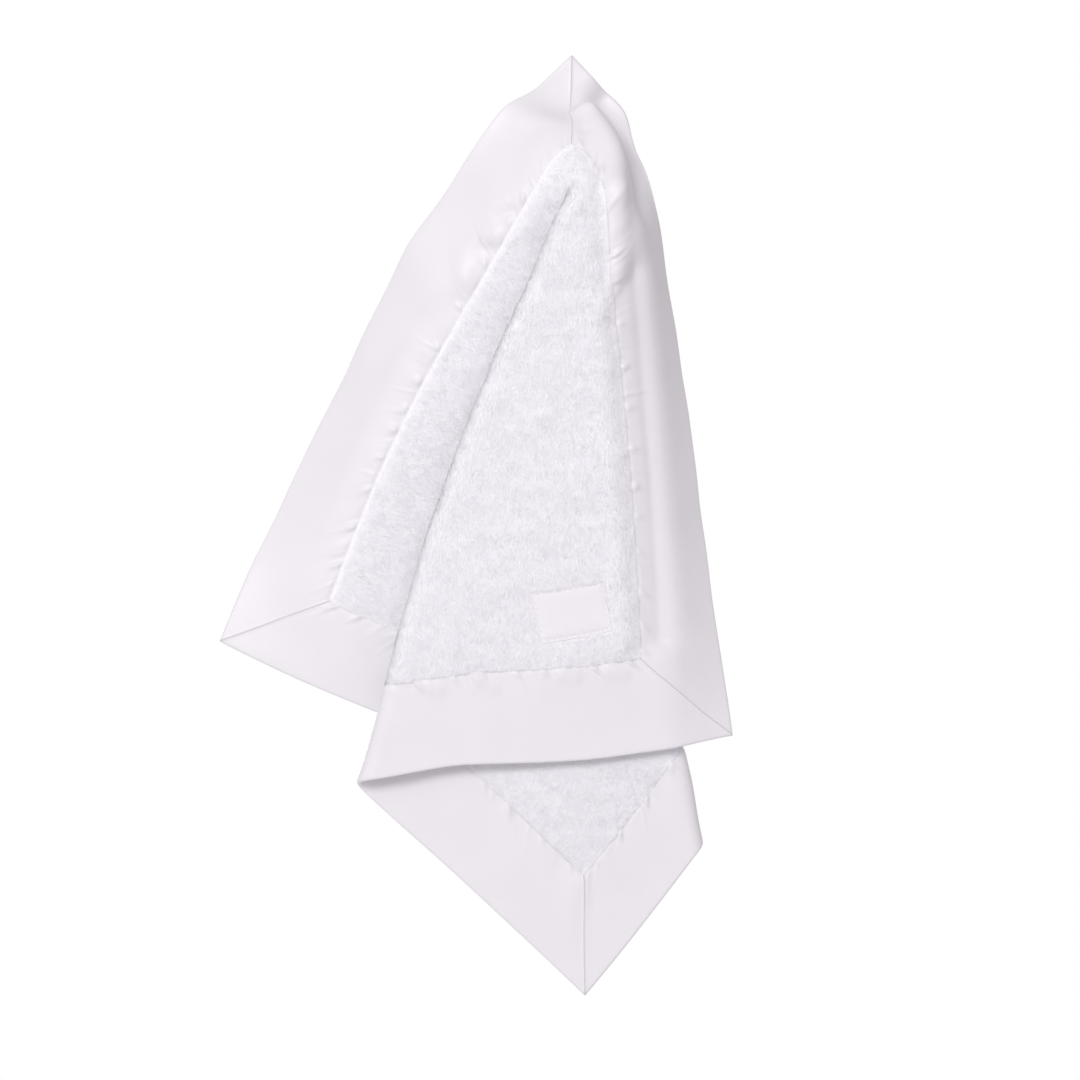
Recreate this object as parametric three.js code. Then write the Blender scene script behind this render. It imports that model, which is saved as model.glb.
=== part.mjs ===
// A comfort blanket that hangs by one corner: a square of plush on both faces, a wide satin
// border with mitred corners, and a small sewn label.
//
// Every piece is laid out flat first, in millimetres from the held corner: s runs along the
// upper left edge and t along the upper right edge. Then one function, hang(), gives each flat
// point its place in the air. The cloth turns about a point just inside the plush, the apex,
// and folds over itself twice there, so that the right third of it lies across the front.
//
// +Z is up and the front faces -Y. The origin is the place where the corner is held.

import * as THREE from "three";
import { mergeVertices } from "three/addons/utils/BufferGeometryUtils.js";

const deg = Math.PI / 180;

// The blanket as it was sewn.
const side = 406.4;
const borderWidth = 50.8;
const pileHeight = 2.5;
const backingThickness = 0.5;
const satinThickness = 0.5;
const seamAllowance = 6.4;
const clearance = 0.3;

// The label. Before it is turned about its middle by its tilt, it lies this far from the satin
// beside it and from the satin below it.
const labelWidth = 40;
const labelHeight = 31;
const labelThickness = 0.5;
const labelBesideSeam = 15.2;
const labelAboveSeam = 16.6;
const labelTiltAngle = 6;

// How it hangs. The apex lies a little inside the plush, on the diagonal from the held corner.
const gripDepth = 17;
const apexInsidePlush = 15.7;
const apexForward = 40;
const slopeBack = 56;
const slopeLength = 160;
const apexRounding = 10;
const insideBend = 1.2;
const bendGrowthShare = 0.006;

// The held corner stays flat, and eases into the hanging cloth beyond that.
const flatCorner = 25;
const cornerEase = 34;
const leftEdgeAngle = 46.3;

// How far outside their seams the satin borders of the two upper edges start to turn back, and
// over what width.
const rightTurnStart = 8;
const leftTurnStart = 3;
const turnWidth = 16;

// Directions are in degrees about the apex of the flat blanket, from the line along s. The held
// corner lies in the first direction, and again in the last, a full turn further on.
const firstAngle = -135;
const diagonalAngle = 45;
const rearCreaseAngle = 32.9;
const frontCreaseAngle = 66.1;
const apexBearingAngle = -180.2;

// Beyond this direction the cloth comes back, little by little, from lying in front.
const returnAngle = 95;

// The hanging cloth bows sideways by up to this angle, between the apex and this distance.
const bowAngle = 6.5;
const bowLength = 380;

// [direction, share of the slack taken up by then]. The two folds use up cloth, and the rest
// of the circle makes up for it, mostly beside the folds and over the top corner.
const gatherShares = [
  [-135, 0], [-100, 0.138], [-60, 0.256], [-30, 0.269], [-10, 0.288], [20, 0.329], [50, 0.385],
  [80, 0.385], [100, 0.403], [120, 0.484], [145, 0.575], [180, 0.706], [225, 1],
];

// [direction, share of the flat distance from the apex that shows from the front].
const reachShares = [
  [-135, 0.783], [-100, 0.863], [-60, 0.924], [-30, 0.937], [-10, 0.985], [20, 0.966], [50, 0.998],
  [66, 0.997], [76, 0.982], [86, 0.982], [96, 0.974], [106, 0.987], [120, 0.973], [150, 0.9],
  [185, 0.87], [225, 0.783],
];

// [direction, share of the bow].
const bowShares = [
  [-135, 0], [-90, 0.272], [-40, 0.711], [0, 0.658], [35, 0.797], [66, 0.51], [92, -0.207],
  [130, 0.499], [225, 0],
];

// [share of the side from the held corner, degrees that the border there turns back].
const rightTurnShares = [
  [0, 0], [0.05, 0], [0.1, 37], [0.17, 64], [0.31, 65], [0.5, 57], [0.79, 41], [0.9, 30], [1, 15],
];
const leftTurnShares = [
  [0, 0], [0.05, 0], [0.2, 21], [0.4, 23], [0.6, 36], [0.8, 28], [0.92, 10], [1, 0],
];

// [share of the side from the right corner, share by which the slack front border hangs lower].
const hemShares = [
  [0, 0], [0.1, 0.117], [0.25, 0.107], [0.4, 0.07], [0.55, 0.077], [0.75, 0.028], [1, 0],
];

// Worked out from the above.
const lastAngle = firstAngle + 360;
const apex = borderWidth + apexInsidePlush;
const far = side - borderWidth;
const plushThickness = pileHeight + backingThickness;
const halfGap = clearance / 2;
const plushSkin = halfGap + plushThickness;
const allowanceSkin = halfGap + backingThickness;
const satinInner = allowanceSkin + clearance;
const satinOuter = satinInner + satinThickness;

// Lengths too small to matter, as shares of the side.
const nothingShare = 1e-6;
const normalStepShare = 0.0025;

// The turn of a fold eases in and out over this half width. The tightest radius of such a turn
// is 0.424 of it, and has to leave room inside for half the cloth.
const tightestShare = 0.424;
const foldHalfWidth = (insideBend + plushSkin) / tightestShare;

const mix = (a, b, share) => a + (b - a) * share;

function ease(x) {
  const c = Math.min(Math.max(x, 0), 1);
  return c * c * (3 - 2 * c);
}

// A smooth curve through a table of [place, value], which never overshoots its values.
function through(table, x) {
  const last = table.length - 1;
  const slope = (i) => (table[i + 1][1] - table[i][1]) / (table[i + 1][0] - table[i][0]);
  const tangent = (i) => {
    if (i === 0) return slope(0);
    if (i === last) return slope(last - 1);
    const before = slope(i - 1);
    const after = slope(i);
    return before * after > 0 ? (2 * before * after) / (before + after) : 0;
  };
  let i = 0;
  while (i < last - 1 && x > table[i + 1][0]) i += 1;
  const width = table[i + 1][0] - table[i][0];
  const u = Math.min(Math.max((x - table[i][0]) / width, 0), 1);
  const v = 1 - u;
  return table[i][1] * (1 + 2 * u) * v * v + tangent(i) * width * u * v * v
    + table[i + 1][1] * u * u * (3 - 2 * u) - tangent(i + 1) * width * u * u * v;
}

// How far the cloth has turned over, across the folds, at one direction and distance.
function foldTurn(direction, distance) {
  const halfWidth = foldHalfWidth + bendGrowthShare * distance;
  const past = (crease) => ease(((direction - crease * deg) * distance / halfWidth + 1) / 2);
  return Math.PI * (past(rearCreaseAngle) - past(frontCreaseAngle));
}

// Sums the turned cloth from the first direction up to this one, by Simpson's rule: the angle it
// covers as seen from the front, and the depth it reaches as a share of the distance.
const sweepSteps = 160;

function sweep(direction, distance) {
  const spread = (foldHalfWidth + bendGrowthShare * distance) / distance;
  const from = Math.max(firstAngle * deg, rearCreaseAngle * deg - spread);
  const until = Math.min(lastAngle * deg, frontCreaseAngle * deg + spread);
  if (direction <= from) return { across: direction - firstAngle * deg, depth: 0 };
  const end = Math.min(direction, until);
  const step = (end - from) / sweepSteps;
  let across = from - firstAngle * deg + (direction - end);
  let depth = 0;
  for (let i = 0; i <= sweepSteps; i += 1) {
    const turn = foldTurn(from + i * step, distance);
    const weight = (i === 0 || i === sweepSteps ? 1 : i % 2 === 1 ? 4 : 2) * step / 3;
    across += Math.cos(turn) * weight;
    depth += Math.sin(turn) * weight;
  }
  return { across, depth };
}

// A border that turns back by an angle, eased in: its width as seen from the front, and its depth.
function turnBack(width, angle, start) {
  if (width <= start || angle <= 0) return { across: width, depth: 0 };
  const bent = Math.min(width - start, turnWidth);
  const straight = width - start - bent;
  const radius = turnWidth / angle;
  const turned = bent / radius;
  return {
    across: start + radius * Math.sin(turned) + straight * Math.cos(turned),
    depth: radius * (1 - Math.cos(turned)) + straight * Math.sin(turned),
  };
}

// How far the cloth bows sideways in one direction: none at the apex, the most a third of the
// way down, and none again at the end.
function bow(distance, degrees) {
  const down = Math.min(distance / bowLength, 1);
  const most = (1 / 3) * (2 / 3) ** 2;
  return bowAngle * deg * (down * (1 - down) ** 2 / most) * through(bowShares, degrees);
}

// The place of the flat point (s, t) in the air, halfway through the cloth.
function hang(s, t) {
  const right = turnBack(borderWidth - s, through(rightTurnShares, t / side) * deg, rightTurnStart);
  const left = turnBack(borderWidth - t, through(leftTurnShares, s / side) * deg, leftTurnStart);
  const hem = Math.max(t - far, 0) * through(hemShares, s / side);
  const u = borderWidth - right.across - apex;
  const v = borderWidth - left.across - apex + hem;
  const distance = Math.max(Math.hypot(u, v), nothingShare * side);
  let direction = Math.atan2(v, u);
  if (s < t && direction < 0) direction += 2 * Math.PI;
  direction = Math.min(Math.max(direction, firstAngle * deg), lastAngle * deg);

  const here = sweep(direction, distance);
  const whole = sweep(lastAngle * deg, distance);
  const slack = 2 * Math.PI - whole.across;
  const degrees = direction / deg;
  const bearing = apexBearingAngle * deg + here.across + slack * through(gatherShares, degrees)
    - bow(distance, degrees);
  const reach = distance * through(reachShares, degrees);
  const returned = ease((degrees - returnAngle) / (lastAngle - returnAngle));
  const folded = distance * (here.depth - whole.depth * returned);

  const upward = ((1 - Math.cos(direction - diagonalAngle * deg)) / 2) ** 2;
  const cornerDistance = apex * Math.SQRT2;
  const lower = slopeBack * (1 - Math.exp(-distance / slopeLength));
  const slope = upward * apexForward * (distance / cornerDistance) + (1 - upward) * lower;
  const rounded = slope * distance / (distance + apexRounding);

  const cornerReach = cornerDistance * reachShares[0][1];
  const loose = new THREE.Vector3(
    reach * Math.sin(bearing) - cornerReach * Math.sin(apexBearingAngle * deg),
    rounded + left.depth + right.depth - folded - apexForward,
    cornerReach * Math.cos(apexBearingAngle * deg) - reach * Math.cos(bearing),
  );
  const angle = leftEdgeAngle * deg;
  const flat = new THREE.Vector3(
    t * Math.cos(angle) - s * Math.sin(angle),
    0,
    -s * Math.cos(angle) - t * Math.sin(angle),
  );
  const toFlat = 1 - ease((Math.hypot(s, t) - flatCorner) / cornerEase);
  const tilt = (leftEdgeAngle - diagonalAngle) * deg;
  const toOrigin = new THREE.Vector3(gripDepth * Math.sin(tilt), 0, gripDepth * Math.cos(tilt));
  return loose.lerp(flat, toFlat).add(toOrigin);
}

// The place of a flat point at a height over the middle of the cloth, towards the front face.
function over(s, t, height) {
  const step = normalStepShare * side;
  const alongS = hang(s + step, t).sub(hang(s - step, t));
  const alongT = hang(s, t + step).sub(hang(s, t - step));
  const out = alongS.cross(alongT).normalize();
  return hang(s, t).addScaledVector(out, height);
}

// Joins columns of points into one closed body. Each column is two chains of flat points with
// heights, {top, bottom}, of the same length. Around a full turn the last column is the first.
// Every quad is split from its inner corner in one column to its outer corner in the next, so
// that layers that lie on each other stay parallel.
function loft(columns, fullTurn = false) {
  const rows = columns[0].top.length;
  const corner = columns.map(({ top, bottom }) => [...top, ...[...bottom].reverse()]
    .map(([s, t, height]) => {
      const point = over(s, t, height);
      point.away = Math.hypot(s - apex, t - apex);
      return point;
    }));
  const ring = 2 * rows;
  const triangles = [];
  const quad = (a, b, c, d) => {
    triangles.push(...(a.away < d.away ? [a, b, c, a, c, d] : [a, b, d, b, c, d]));
  };
  const count = columns.length;
  for (let i = 0; i < count - (fullTurn ? 0 : 1); i += 1) {
    const here = corner[i];
    const next = corner[(i + 1) % count];
    for (let j = 0; j < ring; j += 1) {
      const k = (j + 1) % ring;
      quad(here[j], next[j], next[k], here[k]);
    }
  }
  if (!fullTurn) {
    for (const [end, flip] of [[corner[0], false], [corner[count - 1], true]]) {
      for (let j = 0; j < rows - 1; j += 1) {
        const face = [end[j], end[j + 1], end[ring - 2 - j], end[ring - 1 - j]];
        quad(...(flip ? face.reverse() : face));
      }
    }
  }
  return closedGeometry(triangles);
}

// Merges equal corners, drops triangles that shrank to nothing, and turns all faces outward.
function closedGeometry(triangles) {
  const soup = new THREE.BufferGeometry().setFromPoints(triangles);
  const merged = mergeVertices(soup, side * nothingShare);
  const index = merged.getIndex().array;
  const kept = [];
  for (let i = 0; i < index.length; i += 3) {
    const [a, b, c] = [index[i], index[i + 1], index[i + 2]];
    if (a !== b && b !== c && c !== a) kept.push([a, b, c]);
  }
  const place = merged.getAttribute("position");
  const at = (i) => new THREE.Vector3().fromBufferAttribute(place, i);
  const volume = kept.reduce((sum, [a, b, c]) => sum + at(a).dot(at(b).cross(at(c))), 0);
  merged.setIndex((volume < 0 ? kept.map(([a, b, c]) => [a, c, b]) : kept).flat());
  merged.computeVertexNormals();
  return merged;
}

// Directions of the columns between the two side corners of the plush. They stand closer at the
// folds, by shares of the angle between the folds, and at the corners, by degrees.
const cornerAngle = Math.atan2(-apexInsidePlush, far - apex) / deg;
const foldOffsetShares = [0.008, 0.024, 0.042, 0.066, 0.11, 0.2, 0.42];
const cornerOffsets = [0.5, 1, 2, 3, 4, 5.5];
const openShares = [0.3, 0.45, 0.6];
const settledAngle = 5.5;

function lowerDirections() {
  const wedge = frontCreaseAngle - rearCreaseAngle;
  const farCorner = 2 * diagonalAngle - cornerAngle;
  const folds = [rearCreaseAngle, frontCreaseAngle].flatMap((crease) => foldOffsetShares
    .flatMap((share) => [crease - share * wedge, crease + share * wedge]));
  const corners = cornerOffsets.flatMap((angle) => [cornerAngle + angle, farCorner - angle]);
  const open = openShares.map((share) => mix(cornerAngle, rearCreaseAngle, share));
  return [cornerAngle, diagonalAngle, farCorner, ...folds, ...corners, ...open].sort((a, b) => a - b);
}

// Shares of the upper seams at which their columns stand, from the top corner.
const upperSeamShares = [0, 0.012, 0.03, 0.06, 0.1, 0.16, 0.24, 0.34, 0.46, 0.6, 0.74, 0.88, 1];

const between = (p, q, share) => [mix(p[0], q[0], share), mix(p[1], q[1], share)];

// A column is where the seam and the outer edge are crossed on the way out from the apex.
// Those of the upper left edge run from the held corner to the left corner.
const upperLeft = upperSeamShares.map((share) => ({
  seam: [mix(borderWidth, far, share), borderWidth],
  edge: [share * side, 0],
}));

// Those of the edge behind, from the left corner to the bottom corner, follow the folds.
const behind = lowerDirections().filter((direction) => direction <= diagonalAngle).map(columnBehind);

function columnBehind(direction) {
  const rise = Math.tan(direction * deg);
  const seam = apex + (far - apex) * rise;
  const straight = apex + (side - apex) * rise;
  const byShare = (seam - borderWidth) / (far - borderWidth) * side;
  const settled = Math.min((direction - cornerAngle) / settledAngle, 1);
  return { seam: [far, seam], edge: [side, mix(byShare, straight, settled)] };
}

const mirrored = (columns) => columns.map(({ seam, edge }) => ({
  seam: [seam[1], seam[0]],
  edge: [edge[1], edge[0]],
})).reverse();

// The two other edges are their mirror images about the diagonal, with their own folds.
const across = mirrored(lowerDirections().map((direction) => 2 * diagonalAngle - direction)
  .filter((direction) => direction <= diagonalAngle).sort((a, b) => a - b).map(columnBehind));
const upperRight = mirrored(upperLeft);

// One plush field. Its columns run from the apex out to the seam, and its seam allowance goes on
// under the satin without pile. Facing is 1 on the front face and -1 on the other.
const plushRowShares = [0, 0.1, 0.24, 0.4, 0.55, 0.7, 0.85, 1];

function plushField(facing) {
  const around = [upperLeft, behind, across, upperRight].flatMap((columns) => columns.slice(0, -1));
  return loft(around.map(({ seam, edge }) => {
    const pile = plushRowShares.map((share) => between([apex, apex], seam, share));
    const hidden = [seam, between(seam, edge, seamAllowance / borderWidth)];
    return {
      top: [...pile.map((p) => [...p, facing * plushSkin]),
        ...hidden.map((p) => [...p, facing * allowanceSkin])],
      bottom: [...pile, ...hidden].map((p) => [...p, facing * halfGap]),
    };
  }), true);
}

// One border strip, folded along the outer edge of the blanket. A column goes from the seam on
// the front, out over the fold at the edge, and back to the seam behind.
const borderRowShares = [0.35, 0.7];

function bindingColumn({ seam, edge }) {
  const seamGap = clearance / borderWidth;
  const shares = [seamGap, seamAllowance / borderWidth, ...borderRowShares, 1 - satinOuter / borderWidth];
  const chain = (height, turn) => [
    ...shares.map((share) => [...between(seam, edge, share), height]),
    [...between(seam, edge, turn), 0],
    ...shares.map((share) => [...between(seam, edge, share), -height]).reverse(),
  ];
  return {
    top: chain(satinOuter, 1),
    bottom: chain(satinInner, 1 - satinThickness / borderWidth),
  };
}

// Draws the two end columns of a strip in, which leaves the gap at its mitres.
function drawnIn(columns) {
  const draw = (column, next) => {
    const move = (p, q) => between(p, q, clearance / Math.hypot(q[0] - p[0], q[1] - p[1]));
    return { seam: move(column.seam, next.seam), edge: move(column.edge, next.edge) };
  };
  const last = columns.length - 1;
  return [draw(columns[0], columns[1]), ...columns.slice(1, -1), draw(columns[last], columns[last - 1])];
}

function binding(columns) {
  return loft(drawnIn(columns).map(bindingColumn));
}

// The label lies on the front plush, almost square to the border that crosses the front.
function label() {
  const middleS = borderWidth + labelBesideSeam + labelWidth / 2;
  const middleT = far - labelAboveSeam - labelHeight / 2;
  const cos = Math.cos(labelTiltAngle * deg);
  const sin = Math.sin(labelTiltAngle * deg);
  const lowest = plushSkin + clearance;
  const shares = [-0.5, -0.25, 0, 0.25, 0.5];
  return loft(shares.map((share) => {
    const x = share * labelWidth;
    const place = shares.map((rise) => rise * labelHeight)
      .map((y) => [middleS + x * cos - y * sin, middleT + x * sin + y * cos]);
    return {
      top: place.map(([s, t]) => [s, t, lowest + labelThickness]),
      bottom: place.map(([s, t]) => [s, t, lowest]),
    };
  }));
}

const plushWhite = { color: 0xf1eef2, roughness: 0.95, metalness: 0 };
const satinWhite = { color: 0xf6f4f7, roughness: 0.42, metalness: 0 };
const labelWhite = { color: 0xfaf9fa, roughness: 0.7, metalness: 0 };

function piece(name, geometry, finish) {
  const mesh = new THREE.Mesh(geometry, new THREE.MeshStandardMaterial(finish));
  mesh.name = name;
  return mesh;
}

const blanket = new THREE.Group();
blanket.add(
  piece("plush_front", plushField(1), plushWhite),
  piece("plush_back", plushField(-1), plushWhite),
  piece("binding_left", binding(upperLeft), satinWhite),
  piece("binding_right", binding(upperRight), satinWhite),
  piece("binding_rear", binding(behind), satinWhite),
  piece("binding_front", binding(across), satinWhite),
  piece("label", label(), labelWhite),
);

export default blanket;
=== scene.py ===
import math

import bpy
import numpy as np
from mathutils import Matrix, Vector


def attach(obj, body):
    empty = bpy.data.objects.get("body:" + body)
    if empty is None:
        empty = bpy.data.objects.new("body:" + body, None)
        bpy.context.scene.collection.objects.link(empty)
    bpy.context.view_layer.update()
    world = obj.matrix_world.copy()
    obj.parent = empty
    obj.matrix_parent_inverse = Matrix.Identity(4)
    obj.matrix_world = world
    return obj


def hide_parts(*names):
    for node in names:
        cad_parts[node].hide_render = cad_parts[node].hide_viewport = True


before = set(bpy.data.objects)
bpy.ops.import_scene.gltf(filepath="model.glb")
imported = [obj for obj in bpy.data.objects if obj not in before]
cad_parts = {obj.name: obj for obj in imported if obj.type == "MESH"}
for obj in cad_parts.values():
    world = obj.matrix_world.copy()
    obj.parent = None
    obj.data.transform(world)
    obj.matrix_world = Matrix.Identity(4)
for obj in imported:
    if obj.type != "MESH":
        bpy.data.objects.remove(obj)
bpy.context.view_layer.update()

# The looks of a comfort blanket that hangs by one corner: two plush faces with their pile, four
# satin borders with puckered seams, and a small blank label with its stitches.
#
# Every piece is laid out flat first, in millimetres from the held corner: s runs along the upper
# left edge and t along the upper right edge. hang() is the same function as in the part's source,
# and gives each flat point its place in the air, so each piece lies where its solid does.

MM = 0.001
DEG = math.pi / 180

# The blanket as it was sewn.
SIDE = 406.4
BORDER = 50.8
PILE = 2.5
BACKING = 0.5
SATIN = 0.5
ALLOWANCE = 6.4
CLEARANCE = 0.3

# The label, and how far it lies from the satin beside it and from the satin below it, before it
# is turned about its middle by its tilt. It presses the pile down by LABEL_PRESS.
LABEL_WIDTH = 40
LABEL_HEIGHT = 31
LABEL_THICKNESS = 0.5
LABEL_BESIDE = 15.2
LABEL_ABOVE = 16.6
LABEL_TILT = 6
LABEL_PRESS = 0.9

# How it hangs.
GRIP_DEPTH = 17
APEX_INSIDE = 15.7
APEX_FORWARD = 40
SLOPE_BACK = 56
SLOPE_LENGTH = 160
APEX_ROUNDING = 10
INSIDE_BEND = 1.2
BEND_GROWTH = 0.006
TIGHTEST = 0.424
FLAT_CORNER = 25
CORNER_EASE = 34
LEFT_EDGE_ANGLE = 46.3
RIGHT_TURN_START = 8
LEFT_TURN_START = 3
TURN_WIDTH = 16
FIRST_ANGLE = -135
REAR_CREASE_ANGLE = 32.9
FRONT_CREASE_ANGLE = 66.1
APEX_BEARING_ANGLE = -180.2
BOW_ANGLE = 6.5
BOW_LENGTH = 380
RETURN_ANGLE = 95
GATHER = [
    (-135, 0), (-100, 0.138), (-60, 0.256), (-30, 0.269), (-10, 0.288), (20, 0.329), (50, 0.385),
    (80, 0.385), (100, 0.403), (120, 0.484), (145, 0.575), (180, 0.706), (225, 1),
]
REACH = [
    (-135, 0.783), (-100, 0.863), (-60, 0.924), (-30, 0.937), (-10, 0.985), (20, 0.966), (50, 0.998),
    (66, 0.997), (76, 0.982), (86, 0.982), (96, 0.974), (106, 0.987), (120, 0.973), (150, 0.9),
    (185, 0.87), (225, 0.783),
]
BOW = [
    (-135, 0), (-90, 0.272), (-40, 0.711), (0, 0.658), (35, 0.797), (66, 0.51), (92, -0.207),
    (130, 0.499), (225, 0),
]
RIGHT_TURN = [
    (0, 0), (0.05, 0), (0.1, 37), (0.17, 64), (0.31, 65), (0.5, 57), (0.79, 41), (0.9, 30), (1, 15),
]
LEFT_TURN = [
    (0, 0), (0.05, 0), (0.2, 21), (0.4, 23), (0.6, 36), (0.8, 28), (0.92, 10), (1, 0),
]
HEM = [
    (0, 0), (0.1, 0.117), (0.25, 0.107), (0.4, 0.07), (0.55, 0.077), (0.75, 0.028), (1, 0),
]

# Worked out from the above. BOW_PEAK is the greatest value of x (1 - x) squared, from 0 to 1.
LAST_ANGLE = FIRST_ANGLE + 360
APEX = BORDER + APEX_INSIDE
FAR = SIDE - BORDER
HALF_GAP = CLEARANCE / 2
PLUSH_SKIN = HALF_GAP + PILE + BACKING
ALLOWANCE_SKIN = HALF_GAP + BACKING
SATIN_INNER = ALLOWANCE_SKIN + CLEARANCE
SATIN_OUTER = SATIN_INNER + SATIN
FOLD_HALF = (INSIDE_BEND + PLUSH_SKIN) / TIGHTEST
BOW_PEAK = 4 / 27
LABEL_S = BORDER + LABEL_BESIDE + LABEL_WIDTH / 2
LABEL_T = FAR - LABEL_ABOVE - LABEL_HEIGHT / 2

# How finely the turned cloth is summed, how fine the grid of the cloth is, and how many points are
# summed at a time.
STEPS = 160
GRID = 509
CHUNK = 20000


def ease(x):
    c = np.clip(x, 0, 1)
    return c * c * (3 - 2 * c)


def mix(a, b, share):
    return a + (b - a) * share


def through(table, x):
    """A smooth curve through a table of (place, value), which never overshoots its values."""
    place, value = np.array(table, float).T
    slope = np.diff(value) / np.diff(place)
    tangent = np.concatenate([slope[:1], np.zeros(len(slope) - 1), slope[-1:]])
    before, after = slope[:-1], slope[1:]
    same = before * after > 0
    total = np.where(same, before + after, 1)
    tangent[1:-1] = np.where(same, 2 * before * after / total, 0)
    i = np.clip(np.searchsorted(place, x) - 1, 0, len(slope) - 1)
    width = place[i + 1] - place[i]
    u = np.clip((x - place[i]) / width, 0, 1)
    v = 1 - u
    return (value[i] * (1 + 2 * u) * v * v + tangent[i] * width * u * v * v
            + value[i + 1] * u * u * (3 - 2 * u) - tangent[i + 1] * width * u * u * v)


def sweep(direction, distance):
    """Sums the turned cloth from the first direction up to this one."""
    half = FOLD_HALF + BEND_GROWTH * distance
    spread = half / distance
    start = np.maximum(FIRST_ANGLE * DEG, REAR_CREASE_ANGLE * DEG - spread)
    until = np.minimum(LAST_ANGLE * DEG, FRONT_CREASE_ANGLE * DEG + spread)
    end = np.clip(direction, start, until)
    share = np.linspace(0, 1, STEPS + 1)
    weight = np.where(np.arange(STEPS + 1) % 2 == 1, 4.0, 2.0)
    weight[[0, -1]] = 1
    weight /= 3 * STEPS
    across = start - FIRST_ANGLE * DEG + direction - end
    depth = np.zeros_like(across)
    for low in range(0, len(across), CHUNK):
        part = slice(low, low + CHUNK)
        width = end[part] - start[part]
        x = start[part, None] + width[:, None] * share
        scale = (distance[part] / half[part])[:, None]
        rear_past = ease(((x - REAR_CREASE_ANGLE * DEG) * scale + 1) / 2)
        front_past = ease(((x - FRONT_CREASE_ANGLE * DEG) * scale + 1) / 2)
        turn = math.pi * (rear_past - front_past)
        across[part] += (np.cos(turn) @ weight) * width
        depth[part] += (np.sin(turn) @ weight) * width
    return across, depth


def turn_back(width, angle, start):
    """A border that turns back by an angle: its width as seen from the front, and its depth."""
    bent = np.clip(width - start, 0, TURN_WIDTH)
    straight = np.maximum(width - start - bent, 0)
    radius = TURN_WIDTH / np.maximum(angle, 1e-6)
    turned = bent / radius
    across = np.minimum(width, start) + radius * np.sin(turned) + straight * np.cos(turned)
    depth = radius * (1 - np.cos(turned)) + straight * np.sin(turned)
    return across, depth


def bow(distance, degrees):
    """How far the cloth sways sideways on its way down from the apex."""
    down = np.minimum(distance / BOW_LENGTH, 1)
    return BOW_ANGLE * DEG * down * (1 - down) ** 2 / BOW_PEAK * through(BOW, degrees)


def hang(s, t):
    """The place of flat points (s, t) in the air, halfway through the cloth."""
    right_angle = through(RIGHT_TURN, t / SIDE) * DEG
    left_angle = through(LEFT_TURN, s / SIDE) * DEG
    right, right_depth = turn_back(BORDER - s, right_angle, RIGHT_TURN_START)
    left, left_depth = turn_back(BORDER - t, left_angle, LEFT_TURN_START)
    hem = np.maximum(t - FAR, 0) * through(HEM, s / SIDE)
    u = BORDER - right - APEX
    v = BORDER - left - APEX + hem
    distance = np.maximum(np.hypot(u, v), 1e-6 * SIDE)
    direction = np.arctan2(v, u)
    direction = np.where((s < t) & (direction < 0), direction + 2 * math.pi, direction)
    direction = np.clip(direction, FIRST_ANGLE * DEG, LAST_ANGLE * DEG)

    across, depth = sweep(direction, distance)
    whole, whole_depth = sweep(np.full_like(direction, LAST_ANGLE * DEG), distance)
    degrees = direction / DEG
    bearing = APEX_BEARING_ANGLE * DEG + across + (2 * math.pi - whole) * through(GATHER, degrees)
    bearing = bearing - bow(distance, degrees)
    reach = distance * through(REACH, degrees)
    returned = ease((direction - RETURN_ANGLE * DEG) / ((LAST_ANGLE - RETURN_ANGLE) * DEG))
    folded = distance * (depth - whole_depth * returned)

    upward = ((1 - np.cos(direction - 45 * DEG)) / 2) ** 2
    corner_distance = APEX * math.sqrt(2)
    lower = SLOPE_BACK * (1 - np.exp(-distance / SLOPE_LENGTH))
    slope = upward * APEX_FORWARD * (distance / corner_distance) + (1 - upward) * lower
    rounded = slope * distance / (distance + APEX_ROUNDING)

    corner_reach = corner_distance * REACH[0][1]
    loose = np.stack([
        reach * np.sin(bearing) - corner_reach * math.sin(APEX_BEARING_ANGLE * DEG),
        rounded + left_depth + right_depth - folded - APEX_FORWARD,
        corner_reach * math.cos(APEX_BEARING_ANGLE * DEG) - reach * np.cos(bearing),
    ], -1)
    angle = LEFT_EDGE_ANGLE * DEG
    flat = np.stack([
        t * math.cos(angle) - s * math.sin(angle),
        np.zeros_like(s),
        -s * math.cos(angle) - t * math.sin(angle),
    ], -1)
    to_flat = (1 - ease((np.hypot(s, t) - FLAT_CORNER) / CORNER_EASE))[:, None]
    tilt = (LEFT_EDGE_ANGLE - 45) * DEG
    shift = np.array([GRIP_DEPTH * math.sin(tilt), 0, GRIP_DEPTH * math.cos(tilt)])
    return mix(loose, flat, to_flat) + shift


noise_tables = {}


def noise(x, y, seed):
    """Smooth noise from -1 to 1, whose cells are one unit wide."""
    if seed not in noise_tables:
        noise_tables[seed] = np.random.default_rng(seed).uniform(-1, 1, (256, 256))
    table = noise_tables[seed]
    x, y = np.broadcast_arrays(np.asarray(x, float), np.asarray(y, float))
    i, j = np.floor(x).astype(int), np.floor(y).astype(int)
    u, v = ease(x - i), ease(y - j)
    near = mix(table[i & 255, j & 255], table[(i + 1) & 255, j & 255], u)
    far = mix(table[i & 255, (j + 1) & 255], table[(i + 1) & 255, (j + 1) & 255], u)
    return mix(near, far, v)


def unit(v):
    return v / np.maximum(np.linalg.norm(v, axis=-1, keepdims=True), 1e-12)


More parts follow.
